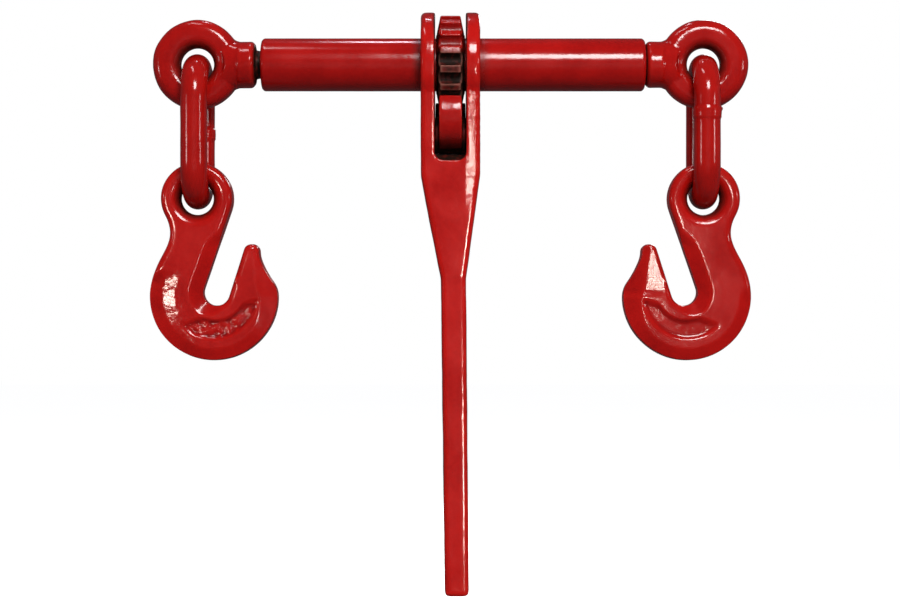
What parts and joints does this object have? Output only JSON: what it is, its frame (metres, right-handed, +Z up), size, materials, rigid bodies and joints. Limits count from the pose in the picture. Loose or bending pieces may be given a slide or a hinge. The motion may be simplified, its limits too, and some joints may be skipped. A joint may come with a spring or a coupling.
{
  "type": "ratchet load binder",
  "caption": "Ratchet load binder: a handle and pawl turn a geared barrel that draws in two screwed eyes, each with a link and a grab hook for chain.",
  "frame": {"origin": "centre of the ratchet gear on the barrel's axis", "axes": "+X along the barrel to the right hand eye, +Y to the back, +Z up, with the links, hooks and handle hanging down"},
  "size_m": [0.398, 0.0688, 0.3864],
  "materials": {
    "red_enamel": "glossy red enamel over rough forged steel",
    "bare_steel": "oiled plain steel",
    "spring_steel": "dark oiled spring wire"
  },
  "bodies": {
    "handle": {"handle": "red_enamel", "pawl_pin": "bare_steel", "detent_spring": "spring_steel"},
    "barrel": {"barrel": "red_enamel", "ratchet_gear": "red_enamel", "gear_weld_right": "red_enamel", "gear_weld_left": "red_enamel"},
    "pawl": {"pawl": "red_enamel"},
    "detent_plunger": {"detent_plunger": "bare_steel"},
    "eye_screw_right": {"eye_screw_right": "red_enamel", "stop_washer_right": "bare_steel", "stop_pin_right": "bare_steel"},
    "eye_screw_left": {"eye_screw_left": "red_enamel", "stop_washer_left": "bare_steel", "stop_pin_left": "bare_steel"},
    "link_right": {"link_right": "red_enamel"},
    "link_left": {"link_left": "red_enamel"},
    "hook_right": {"hook_right": "red_enamel"},
    "hook_left": {"hook_left": "red_enamel"}
  },
  "joints": [
    {"name": "barrel_spin", "type": "hinge", "parent": "handle", "child": "barrel", "pos_m": [0, 0, 0], "axis": [-1, 0, 0], "range_deg": [0, 5400]},
    {"name": "screw_out_right", "type": "slide", "parent": "handle", "child": "eye_screw_right", "axis": [1, 0, 0], "range_m": [0, 0.0953]},
    {"name": "screw_out_left", "type": "slide", "parent": "handle", "child": "eye_screw_left", "axis": [-1, 0, 0], "range_m": [0, 0.0953]},
    {"name": "link_swing_right", "type": "hinge", "parent": "eye_screw_right", "child": "link_right", "pos_m": [0.168, 0, 0], "axis": [0, -1, 0], "range_deg": [-15, 180]},
    {"name": "link_swing_left", "type": "hinge", "parent": "eye_screw_left", "child": "link_left", "pos_m": [-0.168, 0, 0], "axis": [0, 1, 0], "range_deg": [-15, 180]},
    {"name": "hook_swing_right", "type": "hinge", "parent": "link_right", "child": "hook_right", "pos_m": [0.168, 0, -0.0891], "axis": [0, -1, 0], "range_deg": [-75, 100]},
    {"name": "hook_swing_left", "type": "hinge", "parent": "link_left", "child": "hook_left", "pos_m": [-0.168, 0, -0.0891], "axis": [0, 1, 0], "range_deg": [-75, 100]},
    {"name": "pawl_rock", "type": "hinge", "parent": "handle", "child": "pawl", "pos_m": [0, 0, -0.047], "axis": [1, 0, 0], "range_deg": [-8, 8]},
    {"name": "detent_press", "type": "slide", "parent": "handle", "child": "detent_plunger", "axis": [0, 0, -1], "range_m": [0, 0.003], "stiffness_N_per_m": 1200, "springref_m": -0.002, "deforming": ["detent_spring"]}
  ],
  "couplings": [
    {"joint": "screw_out_right", "follows": "barrel_spin", "m_per_rad": 0.0010106},
    {"joint": "screw_out_left", "follows": "barrel_spin", "m_per_rad": 0.0010106}
  ]
}
